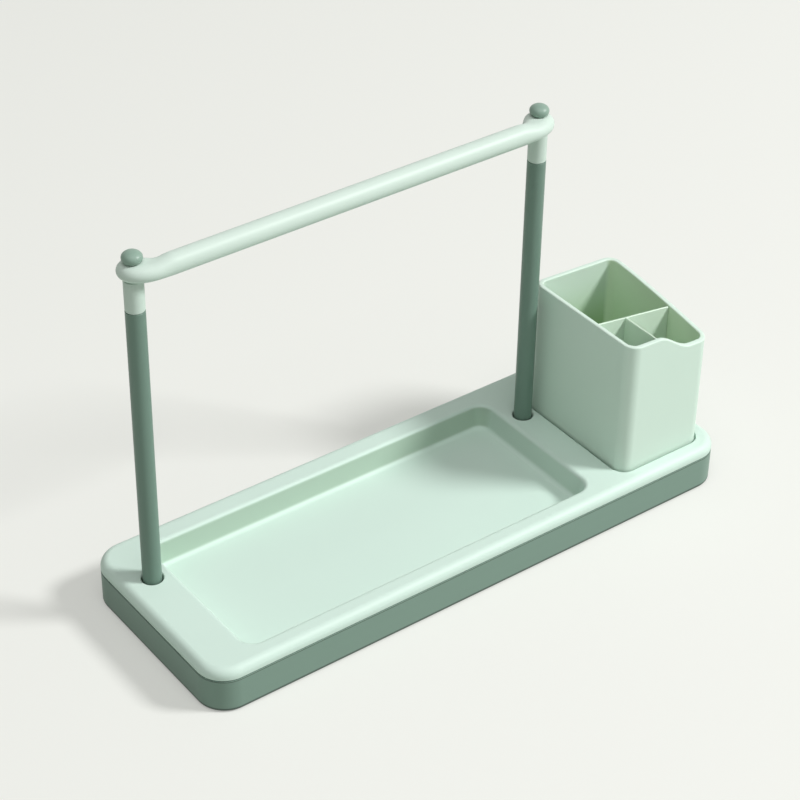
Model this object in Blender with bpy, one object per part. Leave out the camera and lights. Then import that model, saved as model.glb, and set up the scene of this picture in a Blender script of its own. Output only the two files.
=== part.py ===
"""Sink drain shelf: a tray on a drip base, two posts with a hanging rail, and a utensil cup.

Metres, +Z up. The origin is on the table, under the middle of the base. +X runs along the rail to
the cup and +Y runs to the back, where the posts stand.
"""
import math

import bmesh
import bpy

# Clearance between pieces that touch, the overrun of cutters past what they cut, and the share
# of the clearance within which the points of one mesh are merged
FIT_GAP = 0.0003
CUT_OVERRUN = 0.004
MERGE_SHARE = 0.1

# Drip base
BASE_LENGTH = 0.400
BASE_WIDTH = 0.143
BASE_CORNER_RADIUS = 0.019
BASE_HEIGHT = 0.0235
BASE_WALL = 0.0028
BASE_FLOOR = 0.003
BASE_EDGE_RADIUS = 0.0008
BASE_FLOOR_FILLET = 0.002
BASE_RIM_RADIUS = 0.0006

# Rubber feet in recesses under the base
FOOT_RADIUS = 0.008
FOOT_PROUD = 0.0005
FOOT_RECESS_DEPTH = 0.0015
FOOT_EDGE = 0.0004
FOOT_END_INSET = 0.021
FOOT_SIDE_INSET = 0.017

# Tray on the base
TRAY_SEAM = 0.0004
TRAY_EDGE_HEIGHT = 0.0076
TRAY_EDGE_RADIUS = 0.0056
TRAY_WALL = 0.0025
TRAY_LIP_DEPTH = 0.004
TRAY_LIP_WALL = 0.002

# Basin in the tray
BASIN_POST_SPACE = 0.0102
BASIN_FRONT_LAND = 0.0108
BASIN_BACK_LAND = 0.0145
BASIN_CORNER_RADIUS = 0.013
BASIN_DEPTH = 0.017
BASIN_RIM_RADIUS = 0.0024
BASIN_FOOT_RADIUS = 0.0038
BASIN_WALL_LEAN = math.radians(8)

# Utensil cup and its pocket in the tray
CUP_LENGTH = 0.0684
CUP_WIDTH = 0.0975
CUP_HEIGHT = 0.0997
CUP_END_INSET = 0.0116
CUP_FRONT_INSET = 0.0114
CUP_POST_SPACE = 0.0108
CUP_CORNER_RADIUS = 0.0088
CUP_WALL = 0.0034
CUP_FLOOR = 0.003
CUP_BOTTOM_RADIUS = 0.002
CUP_FLOOR_FILLET = 0.0018
POCKET_SPACE = 0.001
POCKET_DEPTH = 0.0032
POCKET_EDGE = 0.0005

# Rim of the cup: it falls gently to the right, and dips at the front right corner
RIM_FALL = 0.0042
DIP_DEPTH = 0.013
DIP_START = -0.004
DIP_RUN = 0.028
DIP_FADE_POWER = 1.4

# Drain holes in the floors of the cup and its pocket
CUP_DRAIN_RADIUS = 0.0025
CUP_DRAIN_INSET = 0.012
POCKET_DRAIN_RADIUS = 0.004
POCKET_DRAIN_SPACING = 0.044

# T-shaped divider in the cup
DIVIDER_THICKNESS = 0.0014
DIVIDER_TOP_DROP = 0.0014
DIVIDER_CHAMFER = 0.0024
CROSS_WALL_FROM_FRONT = 0.0374
STEM_FROM_LEFT = 0.0277

# Posts in the sockets of the base
POST_DIAMETER = 0.012
POST_WALL = 0.001
POST_LENGTH = 0.2219
POST_END_INSET = 0.0194
POST_BACK_INSET = 0.0434
POST_HOLE_SPACE = 0.0005
POST_HOLE_WALL = 0.002
POST_HOLE_DEPTH = 0.0055
POST_HOLE_EDGE = 0.0003
SOCKET_FLOOR = 0.005
SOCKET_WALL = 0.0027
SOCKET_DEPTH = 0.0148

# Plug in the bottom of each post, and the screw that draws it down
PLUG_LENGTH = 0.016
PLUG_CHAMFER = 0.001
PLUG_BORE_DEPTH = 0.0115
SCREW_RADIUS = 0.0015
SCREW_LENGTH = 0.013
SCREW_HEAD_RADIUS = 0.0032
SCREW_HEAD_HEIGHT = 0.002
SCREW_HEAD_EDGE = 0.0006
SCREW_HEAD_SPACE = 0.0005
SCREW_HEAD_SINK = 0.0026

# Collars on top of the posts
COLLAR_HEIGHT = 0.0204
COLLAR_CHAMFER = 0.0005
SPIGOT_LENGTH = 0.020
SPIGOT_CHAMFER = 0.001
COLLAR_BORE_DEPTH = 0.012

# Hanging rail
RAIL_RADIUS = 0.0068
RAIL_FORWARD = 0.0074
EYE_RADIUS = 0.0094
EYE_BLEND = 0.012
EYE_FLATTEN_START = 0.020
EYE_TOP_DROP = 0.002
EYE_BOTTOM_RISE = 0.0007

# Knobs and their studs
KNOB_RADIUS = 0.0062
KNOB_HEIGHT = 0.0066
KNOB_SIDE_HEIGHT = 0.0026
KNOB_EDGE = 0.0007
KNOB_BORE_DEPTH = 0.0042
STUD_RADIUS = 0.002

# Arrows that stand on the axes of the lifts
ARROW_SIZE = 0.03

# Counts of segments
CORNER_STEPS = 7
EDGE_STEPS = 4
TRAY_EDGE_STEPS = 6
ROUND_STEPS = 32
SMALL_ROUND_STEPS = 20
DOME_STEPS = 6
RAIL_SIDES = 20
EYE_STEPS = 8
EYE_BACK_STEPS = 4
EYE_BAR_STEPS = 3
CUP_FRONT_CUTS = 15
CUP_SIDE_CUTS = 8
SMOOTH_ANGLE = math.radians(38)

# Heights and places worked out from the sizes above
BASE_BOTTOM = FOOT_PROUD
BASE_RIM = BASE_BOTTOM + BASE_HEIGHT
TRAY_BOTTOM = BASE_RIM + TRAY_SEAM
TRAY_TOP = TRAY_BOTTOM + TRAY_EDGE_HEIGHT
BASIN_FLOOR_TOP = TRAY_TOP - BASIN_DEPTH
POCKET_FLOOR_TOP = TRAY_TOP - POCKET_DEPTH
LEFT_END = -BASE_LENGTH / 2
RIGHT_END = BASE_LENGTH / 2
FRONT = -BASE_WIDTH / 2
BACK = BASE_WIDTH / 2

POST_RADIUS = POST_DIAMETER / 2
POST_BORE_RADIUS = POST_RADIUS - POST_WALL
POST_Y = BACK - POST_BACK_INSET
CUP_LEFT = RIGHT_END - CUP_END_INSET - CUP_LENGTH
CUP_RIGHT = CUP_LEFT + CUP_LENGTH
CUP_FRONT = FRONT + CUP_FRONT_INSET
CUP_BACK = CUP_FRONT + CUP_WIDTH
CUP_BOTTOM = POCKET_FLOOR_TOP + FIT_GAP
CUP_TOP = CUP_BOTTOM + CUP_HEIGHT
CUP_FLOOR_TOP = CUP_BOTTOM + CUP_FLOOR
POST_X = {"left": LEFT_END + POST_END_INSET, "right": CUP_LEFT - CUP_POST_SPACE}
SOCKET_BOTTOM = BASE_BOTTOM + SOCKET_FLOOR
POST_BOTTOM = SOCKET_BOTTOM + FIT_GAP
POST_TOP = POST_BOTTOM + POST_LENGTH
PLUG_BOTTOM = POST_BOTTOM + FIT_GAP
PLUG_RADIUS = POST_BORE_RADIUS - FIT_GAP
COLLAR_BOTTOM = POST_TOP + FIT_GAP
COLLAR_TOP = COLLAR_BOTTOM + COLLAR_HEIGHT
RAIL_Z = COLLAR_TOP + FIT_GAP + RAIL_RADIUS - EYE_BOTTOM_RISE
RAIL_Y = POST_Y - RAIL_FORWARD
KNOB_BOTTOM = RAIL_Z + RAIL_RADIUS - EYE_TOP_DROP + FIT_GAP
STUD_BORE_RADIUS = STUD_RADIUS + FIT_GAP
STEM_X = CUP_LEFT + STEM_FROM_LEFT
CROSS_WALL_Y = CUP_FRONT + CROSS_WALL_FROM_FRONT


def clear_scene():
    for item in list(bpy.data.objects):
        bpy.data.objects.remove(item, do_unlink=True)


def material(name, colour, roughness, metallic=0.0):
    made = bpy.data.materials.new(name)
    made.use_nodes = True
    shader = made.node_tree.nodes["Principled BSDF"]
    shader.inputs["Base Color"].default_value = (*colour, 1.0)
    shader.inputs["Roughness"].default_value = roughness
    shader.inputs["Metallic"].default_value = metallic
    made.diffuse_color = (*colour, 1.0)
    return made


# Meshes and objects

def arc(centre, radius, start, end, steps):
    """Points of a circle arc about centre, from the angle start to the angle end in degrees."""
    points = []
    for step in range(steps + 1):
        angle = math.radians(start + (end - start) * step / steps)
        points.append((centre[0] + radius * math.cos(angle), centre[1] + radius * math.sin(angle)))
    return points


def finish_mesh(name, bm, origin, finish, parent=None):
    """Object of the mesh, with its origin at the given place in the world."""
    bmesh.ops.translate(bm, vec=[-value for value in origin], verts=bm.verts)
    bmesh.ops.recalc_face_normals(bm, faces=bm.faces)
    mesh = bpy.data.meshes.new(name)
    bm.to_mesh(mesh)
    bm.free()
    mesh.shade_smooth()
    mesh.set_sharp_from_angle(angle=SMOOTH_ANGLE)
    mesh.materials.append(finish)
    item = bpy.data.objects.new(name, mesh)
    bpy.context.scene.collection.objects.link(item)
    item.parent = parent
    base = parent.location if parent else (0.0, 0.0, 0.0)
    item.location = [place - start for place, start in zip(origin, base)]
    return item


def loft(name, rings, origin, finish, parent=None, strips=None):
    """Closed body through rings of equal count, with a cap on the first and the last.

    A cap is one flat face, or else the strips across it, as lists of indexes into the ring.
    """
    bm = bmesh.new()
    loops = [[bm.verts.new(point) for point in ring] for ring in rings]
    count = len(loops[0])
    for lower, upper in zip(loops, loops[1:]):
        for index in range(count):
            after = (index + 1) % count
            bm.faces.new((lower[index], lower[after], upper[after], upper[index]))
    for strip in strips or [range(count)]:
        bm.faces.new([loops[0][index] for index in reversed(strip)])
        bm.faces.new([loops[-1][index] for index in strip])
    return finish_mesh(name, bm, origin, finish, parent)


def turned(name, profile, centre, finish, parent=None, steps=ROUND_STEPS):
    """Solid of revolution about the upright axis through centre.

    The profile is a list of (radius, z). It is closed round a bore, and otherwise both of its
    ends lie on the axis.
    """
    bm = bmesh.new()
    verts = [bm.verts.new((centre[0] + radius, centre[1], z)) for radius, z in profile]
    edges = [bm.edges.new(pair) for pair in zip(verts, verts[1:])]
    if profile[0][0] > 0.0:
        edges.append(bm.edges.new((verts[-1], verts[0])))
    bmesh.ops.spin(
        bm, geom=verts + edges, cent=(*centre, 0.0), axis=(0.0, 0.0, 1.0),
        angle=math.tau, steps=steps, use_merge=True,
    )
    bmesh.ops.remove_doubles(bm, verts=bm.verts, dist=FIT_GAP * MERGE_SHARE)
    origin = (*centre, min(z for _, z in profile))
    return finish_mesh(name, bm, origin, finish, parent)


def rounded_rectangle(box, radius, inset, z, cuts=(1, 1, 1, 1)):
    """Ring of a rectangle with round corners, drawn in by inset.

    Box is (left, front, right, back) and cuts gives how many runs the front, right, back and left
    sides are split into.
    """
    left, front, right, back = box
    reach = max(radius - inset, FIT_GAP)
    corners = (
        (right - inset - reach, front + inset + reach, -90),
        (right - inset - reach, back - inset - reach, 0),
        (left + inset + reach, back - inset - reach, 90),
        (left + inset + reach, front + inset + reach, 180),
    )
    runs = [arc(corner[:2], reach, corner[2], corner[2] + 90, CORNER_STEPS) for corner in corners]
    sides = cuts[1:] + cuts[:1]
    points = []
    for index, run in enumerate(runs):
        points += run
        start = run[-1]
        end = runs[(index + 1) % len(runs)][0]
        for cut in range(1, sides[index]):
            share = cut / sides[index]
            points.append(tuple(a + (b - a) * share for a, b in zip(start, end)))
    return [(x, y, z) for x, y in points]


def rounded_box(name, box, radius, profile, finish, parent=None):
    """Body whose outline follows box, with its profile given as a list of (inset, z)."""
    rings = [rounded_rectangle(box, radius, inset, z) for inset, z in profile]
    origin = ((box[0] + box[2]) / 2, (box[1] + box[3]) / 2, min(z for _, z in profile))
    return loft(name, rings, origin, finish, parent)


def as_guide(item):
    item.hide_render = True
    item.display_type = "WIRE"
    return item


def combine(item, other, operation):
    """Boolean of the item with a guide, which isn't a piece of the object itself."""
    as_guide(other)
    step = item.modifiers.new(other.name, "BOOLEAN")
    step.operation = operation
    step.solver = "EXACT"
    step.object = other


def cylinder(name, centre, radius, bottom, top, finish, steps=ROUND_STEPS):
    return turned(name, [(0.0, bottom), (radius, bottom), (radius, top), (0.0, top)], centre, finish,
                  steps=steps)


def lift_empty(name, place):
    """Upright arrow on the axis of a lift, at the seat of what is lifted off."""
    item = bpy.data.objects.new(name, None)
    item.empty_display_type = "SINGLE_ARROW"
    item.empty_display_size = ARROW_SIZE
    bpy.context.scene.collection.objects.link(item)
    item.location = place
    return item


# Drip base and what is fixed to it

def foot_places():
    x = RIGHT_END - FOOT_END_INSET
    y = BACK - FOOT_SIDE_INSET
    return {
        "foot_front_left": (-x, -y), "foot_front_right": (x, -y),
        "foot_back_left": (-x, y), "foot_back_right": (x, y),
    }


def make_base(finish):
    """Open box with a socket boss for each post, counterbores and foot recesses underneath."""
    box = (LEFT_END, FRONT, RIGHT_END, BACK)
    floor_top = BASE_BOTTOM + BASE_FLOOR
    rim_centre = BASE_RIM - BASE_RIM_RADIUS
    edge = arc((BASE_EDGE_RADIUS, BASE_BOTTOM + BASE_EDGE_RADIUS), BASE_EDGE_RADIUS, 270, 180, EDGE_STEPS)
    rim = [(0.0, rim_centre), (BASE_RIM_RADIUS, BASE_RIM)]
    rim += [(BASE_WALL - BASE_RIM_RADIUS, BASE_RIM), (BASE_WALL, rim_centre)]
    profile = edge + rim + [(BASE_WALL, floor_top + BASE_FLOOR_FILLET)]
    profile.append((BASE_WALL + BASE_FLOOR_FILLET, floor_top))
    base = rounded_box("drip_base", box, BASE_CORNER_RADIUS, profile, finish)
    bore_radius = POST_RADIUS + FIT_GAP
    head_top = BASE_BOTTOM + SCREW_HEAD_SINK
    below = BASE_BOTTOM - CUT_OVERRUN
    for side, x in POST_X.items():
        centre = (x, POST_Y)
        boss_top = SOCKET_BOTTOM + SOCKET_DEPTH
        boss = cylinder(f"{side}_socket_boss", centre, bore_radius + SOCKET_WALL,
                        BASE_BOTTOM + BASE_FLOOR / 2, boss_top, finish)
        combine(base, boss, "UNION")
        bore = cylinder(f"{side}_socket_bore", centre, bore_radius, SOCKET_BOTTOM,
                        boss_top + CUT_OVERRUN, finish)
        combine(base, bore, "DIFFERENCE")
        screw_hole = turned(f"{side}_screw_hole", [
            (0.0, below),
            (SCREW_HEAD_RADIUS + SCREW_HEAD_SPACE, below),
            (SCREW_HEAD_RADIUS + SCREW_HEAD_SPACE, head_top),
            (SCREW_RADIUS + FIT_GAP, head_top),
            (SCREW_RADIUS + FIT_GAP, SOCKET_BOTTOM + CUT_OVERRUN),
            (0.0, SOCKET_BOTTOM + CUT_OVERRUN),
        ], centre, finish, steps=SMALL_ROUND_STEPS)
        combine(base, screw_hole, "DIFFERENCE")
    for name, centre in foot_places().items():
        recess = cylinder(f"{name}_recess", centre, FOOT_RADIUS + FIT_GAP, below,
                          BASE_BOTTOM + FOOT_RECESS_DEPTH, finish)
        combine(base, recess, "DIFFERENCE")


def make_feet(finish):
    """Round rubber pads, a little proud of the underside of the base."""
    top = BASE_BOTTOM + FOOT_RECESS_DEPTH - FIT_GAP
    for name, centre in foot_places().items():
        turned(name, [
            (0.0, 0.0), (FOOT_RADIUS - FOOT_EDGE, 0.0), (FOOT_RADIUS, FOOT_EDGE),
            (FOOT_RADIUS, top), (0.0, top),
        ], centre, finish)


def make_posts(post_finish, plug_finish, screw_finish):
    """A tube in each socket, with a plug in its bottom end and a screw from below."""
    head_bottom = BASE_BOTTOM + SCREW_HEAD_SINK - FIT_GAP - SCREW_HEAD_HEIGHT
    head_top = head_bottom + SCREW_HEAD_HEIGHT
    for side, x in POST_X.items():
        centre = (x, POST_Y)
        turned(f"{side}_post", [
            (POST_RADIUS, POST_BOTTOM), (POST_RADIUS, POST_TOP),
            (POST_BORE_RADIUS, POST_TOP), (POST_BORE_RADIUS, POST_BOTTOM),
        ], centre, post_finish)
        bore = SCREW_RADIUS + FIT_GAP
        plug_top = PLUG_BOTTOM + PLUG_LENGTH
        turned(f"{side}_post_plug", [
            (0.0, PLUG_BOTTOM + PLUG_BORE_DEPTH), (bore, PLUG_BOTTOM + PLUG_BORE_DEPTH),
            (bore, PLUG_BOTTOM), (PLUG_RADIUS, PLUG_BOTTOM),
            (PLUG_RADIUS, plug_top - PLUG_CHAMFER), (PLUG_RADIUS - PLUG_CHAMFER, plug_top),
            (0.0, plug_top),
        ], centre, plug_finish, steps=SMALL_ROUND_STEPS)
        turned(f"{side}_post_screw", [
            (0.0, head_bottom), (SCREW_HEAD_RADIUS - SCREW_HEAD_EDGE, head_bottom),
            (SCREW_HEAD_RADIUS, head_bottom + SCREW_HEAD_EDGE), (SCREW_HEAD_RADIUS, head_top),
            (SCREW_RADIUS, head_top), (SCREW_RADIUS, head_top + SCREW_LENGTH - SCREW_RADIUS),
            (0.0, head_top + SCREW_LENGTH),
        ], centre, screw_finish, steps=SMALL_ROUND_STEPS)


# Tray

def basin_profile(drop):
    """Basin wall from the rim down, lowered by drop, as (inset, z).

    The rim is rounded, the wall leans in towards the floor, and a fillet leads into the floor.
    """
    lean = BASIN_WALL_LEAN
    top = TRAY_TOP - drop
    floor = BASIN_FLOOR_TOP - drop
    rim_turn = 90 - math.degrees(lean)
    rim = arc((0.0, top - BASIN_RIM_RADIUS), BASIN_RIM_RADIUS, 90, 90 - rim_turn, EDGE_STEPS)
    straight_top = rim[-1]
    fillet_centre_z = floor + BASIN_FOOT_RADIUS
    fillet_start_z = fillet_centre_z - BASIN_FOOT_RADIUS * math.sin(lean)
    straight_run = (straight_top[1] - fillet_start_z) * math.tan(lean)
    fillet_centre = (straight_top[0] + straight_run + BASIN_FOOT_RADIUS * math.cos(lean), fillet_centre_z)
    fillet = arc(fillet_centre, BASIN_FOOT_RADIUS, 180 + math.degrees(lean), 270, EDGE_STEPS)
    return rim + fillet


def make_tray(finish, carrier):
    """Shell with a rounded edge and a locating lip, a basin, a pocket for the cup and post holes."""
    outline = (LEFT_END, FRONT, RIGHT_END, BACK)
    lip_inset = BASE_WALL + FIT_GAP
    lip_bottom = TRAY_BOTTOM - TRAY_LIP_DEPTH
    edge = arc((TRAY_EDGE_RADIUS, TRAY_TOP - TRAY_EDGE_RADIUS), TRAY_EDGE_RADIUS, 180, 90, TRAY_EDGE_STEPS)
    profile = [(lip_inset, lip_bottom), (lip_inset, TRAY_BOTTOM), (0.0, TRAY_BOTTOM)] + edge
    tray = rounded_box("top_tray", outline, BASE_CORNER_RADIUS, profile, finish, carrier)

    inner = lip_inset + TRAY_LIP_WALL
    ceiling = TRAY_TOP - TRAY_WALL
    hollow = rounded_box("tray_hollow", outline, BASE_CORNER_RADIUS, [
        (inner, lip_bottom - CUT_OVERRUN), (inner, ceiling - TRAY_WALL), (inner + TRAY_WALL, ceiling),
    ], finish)
    combine(tray, hollow, "DIFFERENCE")

    basin = (
        POST_X["left"] + BASIN_POST_SPACE, FRONT + BASIN_FRONT_LAND,
        POST_X["right"] - BASIN_POST_SPACE, BACK - BASIN_BACK_LAND,
    )
    inside = basin_profile(0.0)
    outside = [(inset - TRAY_WALL, z) for inset, z in basin_profile(TRAY_WALL)]
    outside[0] = (outside[0][0], TRAY_TOP - TRAY_WALL / 2)
    bowl = rounded_box("basin_bowl", basin, BASIN_CORNER_RADIUS, list(reversed(outside)), finish)
    combine(tray, bowl, "UNION")

    pocket = (
        CUP_LEFT - POCKET_SPACE, CUP_FRONT - POCKET_SPACE,
        CUP_RIGHT + POCKET_SPACE, CUP_BACK + POCKET_SPACE,
    )
    pocket_radius = CUP_CORNER_RADIUS + POCKET_SPACE
    well = rounded_box("pocket_well", pocket, pocket_radius, [
        (-TRAY_WALL, POCKET_FLOOR_TOP - TRAY_WALL), (-TRAY_WALL, TRAY_TOP - TRAY_WALL / 2),
    ], finish)
    combine(tray, well, "UNION")

    hole_radius = POST_RADIUS + POST_HOLE_SPACE
    for side, x in POST_X.items():
        ring = cylinder(f"{side}_hole_ring", (x, POST_Y), hole_radius + POST_HOLE_WALL,
                        TRAY_TOP - POST_HOLE_DEPTH, TRAY_TOP - TRAY_WALL / 2, finish,
                        SMALL_ROUND_STEPS)
        combine(tray, ring, "UNION")

    above = [(0.0, TRAY_TOP + CUT_OVERRUN)]
    basin_cut = rounded_box("basin_cut", basin, BASIN_CORNER_RADIUS,
                            list(reversed(above + inside)), finish)
    combine(tray, basin_cut, "DIFFERENCE")
    pocket_cut = rounded_box("pocket_cut", pocket, pocket_radius, [
        (0.0, POCKET_FLOOR_TOP), (0.0, TRAY_TOP - POCKET_EDGE),
        (-POCKET_EDGE, TRAY_TOP), (-POCKET_EDGE, TRAY_TOP + CUT_OVERRUN),
    ], finish)
    combine(tray, pocket_cut, "DIFFERENCE")
    hole_bottom = lip_bottom - CUT_OVERRUN
    for side, x in POST_X.items():
        hole = turned(f"{side}_post_hole", [
            (0.0, hole_bottom), (hole_radius, hole_bottom), (hole_radius, TRAY_TOP - POST_HOLE_EDGE),
            (hole_radius + POST_HOLE_EDGE, TRAY_TOP),
            (hole_radius + POST_HOLE_EDGE, TRAY_TOP + CUT_OVERRUN), (0.0, TRAY_TOP + CUT_OVERRUN),
        ], (x, POST_Y), finish)
        combine(tray, hole, "DIFFERENCE")
    middle_x = (CUP_LEFT + CUP_RIGHT) / 2
    middle_y = (CUP_FRONT + CUP_BACK) / 2
    for name, side in (("front", -1), ("back", 1)):
        drain = cylinder(f"pocket_{name}_drain", (middle_x, middle_y + side * POCKET_DRAIN_SPACING / 2),
                         POCKET_DRAIN_RADIUS, POCKET_FLOOR_TOP - TRAY_WALL - CUT_OVERRUN,
                         POCKET_FLOOR_TOP + CUT_OVERRUN, finish, SMALL_ROUND_STEPS)
        combine(tray, drain, "DIFFERENCE")


# Cup and divider

def smooth_step(share):
    """S-curve from 0 to 1."""
    share = min(max(share, 0.0), 1.0)
    return share * share * (3 - 2 * share)


def rim_fall(x):
    """Straight fall of the rim from the left wall to the right one."""
    return RIM_FALL * (x - CUP_LEFT) / CUP_LENGTH


def rim_dip(x, y):
    """S-curve down along the front wall, which fades out along the right wall."""
    fade = min(max(1 - (y - CUP_FRONT) / CUP_WIDTH, 0.0), 1.0)
    return DIP_DEPTH * smooth_step((x - STEM_X - DIP_START) / DIP_RUN) * fade ** DIP_FADE_POWER


def rim_height(x, y):
    """Top of the rim over the table."""
    return CUP_TOP - rim_fall(x) - rim_dip(x, y)


def divider_top(x):
    """Top edge of the divider: straight, a little below the rim at both ends of the cross wall."""
    start, end = (rim_height(side, CROSS_WALL_Y) for side in (CUP_LEFT, CUP_RIGHT))
    return start + (end - start) * (x - CUP_LEFT) / CUP_LENGTH - DIVIDER_TOP_DROP


def cup_compartments():
    """Inner boxes of the three compartments as (left, front, right, back)."""
    half = DIVIDER_THICKNESS / 2
    left = CUP_LEFT + CUP_WALL
    right = CUP_RIGHT - CUP_WALL
    front = CUP_FRONT + CUP_WALL
    back = CUP_BACK - CUP_WALL
    return {
        "rear": (left, CROSS_WALL_Y + half, right, back),
        "front_left": (left, front, STEM_X - half, CROSS_WALL_Y - half),
        "front_right": (STEM_X + half, front, right, CROSS_WALL_Y - half),
    }


def drain_places(box):
    """Four holes in a wide compartment, two in a narrow one, all at the same inset from its walls."""
    left, front, right, back = box
    middle = (left + right) / 2
    xs = (left + CUP_DRAIN_INSET, right - CUP_DRAIN_INSET)
    if xs[1] - xs[0] < 2 * CUP_DRAIN_INSET:
        xs = (middle,)
    return [(x, y) for x in xs for y in (front + CUP_DRAIN_INSET, back - CUP_DRAIN_INSET)]


def make_cup(finish, carrier):
    """Walls, rounded rim and floor in one loft. The rim's height follows its fall and its dip."""
    box = (CUP_LEFT, CUP_FRONT, CUP_RIGHT, CUP_BACK)
    cuts = (CUP_FRONT_CUTS, CUP_SIDE_CUTS, 1, 1)
    rim_radius = CUP_WALL / 2
    edge_centre = (CUP_BOTTOM_RADIUS, CUP_BOTTOM + CUP_BOTTOM_RADIUS)
    bottom = arc(edge_centre, CUP_BOTTOM_RADIUS, 270, 180, EDGE_STEPS)
    rim = arc((rim_radius, CUP_TOP - rim_radius), rim_radius, 180, 0, 2 * EDGE_STEPS)
    inside = [
        (CUP_WALL, CUP_FLOOR_TOP + CUP_FLOOR_FILLET),
        (CUP_WALL + CUP_FLOOR_FILLET, CUP_FLOOR_TOP),
    ]
    rings = [rounded_rectangle(box, CUP_CORNER_RADIUS, inset, z, cuts) for inset, z in bottom]
    for inset, z in rim:
        level = rounded_rectangle(box, CUP_CORNER_RADIUS, inset, z, cuts)
        rings.append([(x, y, height + rim_height(x, y) - CUP_TOP) for x, y, height in level])
    rings += [rounded_rectangle(box, CUP_CORNER_RADIUS, inset, z, cuts) for inset, z in inside]
    origin = ((CUP_LEFT + CUP_RIGHT) / 2, (CUP_FRONT + CUP_BACK) / 2, CUP_BOTTOM)
    cup = loft("utensil_cup", rings, origin, finish, carrier)
    for name, compartment in cup_compartments().items():
        for index, centre in enumerate(drain_places(compartment)):
            drain = cylinder(f"cup_{name}_drain_{index + 1}", centre, CUP_DRAIN_RADIUS,
                             CUP_BOTTOM - CUT_OVERRUN, CUP_FLOOR_TOP + CUT_OVERRUN, finish,
                             SMALL_ROUND_STEPS)
            combine(cup, drain, "DIFFERENCE")


def upright_plate(name, start, end, chamfers, finish, parent=None):
    """Thin wall between two plan points, up to just under the rim.

    Its lower corners are cut off where chamfers, a pair for the start and the end, says so.
    """
    bottom = CUP_FLOOR_TOP + FIT_GAP
    length = math.dist(start, end)
    along = [(b - a) / length for a, b in zip(start, end)]
    across = (-along[1] * DIVIDER_THICKNESS / 2, along[0] * DIVIDER_THICKNESS / 2)
    outline = []
    if chamfers[0]:
        outline += [(0.0, bottom + DIVIDER_CHAMFER), (DIVIDER_CHAMFER, bottom)]
    else:
        outline.append((0.0, bottom))
    if chamfers[1]:
        outline += [(length - DIVIDER_CHAMFER, bottom), (length, bottom + DIVIDER_CHAMFER)]
    else:
        outline.append((length, bottom))
    outline += [(length, divider_top(end[0])), (0.0, divider_top(start[0]))]
    rings = []
    for side in (1, -1):
        rings.append([
            (start[0] + along[0] * run + side * across[0], start[1] + along[1] * run + side * across[1], z)
            for run, z in outline
        ])
    return loft(name, rings, (*start, bottom), finish, parent)


def make_divider(finish, carrier):
    """Cross wall from side to side and a stem from it to the front wall."""
    left = CUP_LEFT + CUP_WALL
    right = CUP_RIGHT - CUP_WALL
    front = CUP_FRONT + CUP_WALL
    divider = upright_plate("cup_divider", (left + FIT_GAP, CROSS_WALL_Y), (right - FIT_GAP, CROSS_WALL_Y),
                            (True, True), finish, carrier)
    stem = upright_plate("divider_stem", (STEM_X, front + FIT_GAP), (STEM_X, CROSS_WALL_Y),
                         (True, False), finish)
    combine(divider, stem, "UNION")


# Rail, collars and knobs

def eye_outline():
    """Half of the rail's core outline at one eye, as (point, offset direction) pairs.

    Points are (outward, back) from the post's axis. The core is the outline less the rail's
    radius: a run of the bar, a quarter of an ellipse from the bar's line round the front of the
    eye, an arc round its outer side and back, and a straight run that meets the bar's line in a
    mitre.
    """
    core = EYE_RADIUS - RAIL_RADIUS
    reach = EYE_BLEND + core
    bar_run = EYE_FLATTEN_START - EYE_BLEND
    bar_starts = [bar_run * step / EYE_BAR_STEPS - EYE_FLATTEN_START for step in range(EYE_BAR_STEPS)]
    bar = [(start, -RAIL_FORWARD) for start in bar_starts]
    points = [(point, (0.0, -1.0)) for point in bar]
    for step in range(EYE_STEPS + 1):
        turn = math.pi / 2 * step / EYE_STEPS
        normal = (math.sin(turn) / reach, -math.cos(turn) / RAIL_FORWARD)
        size = math.hypot(*normal)
        point = (reach * math.sin(turn) - EYE_BLEND, -RAIL_FORWARD * math.cos(turn))
        points.append((point, (normal[0] / size, normal[1] / size)))
    tip = (-EYE_BLEND, -RAIL_FORWARD)
    last = math.atan2(tip[1], tip[0]) % math.tau - math.acos(core / math.hypot(*tip))
    for step in range(1, EYE_STEPS + 1):
        turn = last * step / EYE_STEPS
        normal = (math.cos(turn), math.sin(turn))
        points.append(((core * normal[0], core * normal[1]), normal))
    touch = points[-1][0]
    for step in range(1, EYE_BACK_STEPS):
        share = step / EYE_BACK_STEPS
        points.append((tuple(a + (b - a) * share for a, b in zip(touch, tip)), normal))
    back = (0.0, 1.0)
    mitre = 1 + normal[0] * back[0] + normal[1] * back[1]
    points.append((tip, ((normal[0] + back[0]) / mitre, (normal[1] + back[1]) / mitre)))
    return points + [(point, back) for point in reversed(bar)]


def rail_height(outward, turn):
    """Height over the rail's axis on the side at this turn: the bar is round and the eye flatter.

    The section stays flat under the whole of the knob.
    """
    seat = KNOB_RADIUS + FIT_GAP
    eye_share = smooth_step((outward + EYE_FLATTEN_START) / (EYE_FLATTEN_START - seat))
    top = RAIL_RADIUS - EYE_TOP_DROP * eye_share
    bottom = EYE_BOTTOM_RISE * eye_share - RAIL_RADIUS
    return (top + bottom) / 2 + (top - bottom) / 2 * math.sin(turn)


def cross_strips(count):
    """Strips across a ring made of two half outlines of this count, from the middle to the ends."""
    strips = [(0, count - 1, count, 2 * count - 1)]
    for start in (0, count):
        for step in range(count // 2):
            near = (start + step, start + step + 1)
            far = (start + count - 2 - step, start + count - 1 - step)
            strips.append(tuple(dict.fromkeys(near + far)))
    return [strip for strip in strips if len(strip) > 2]


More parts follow.
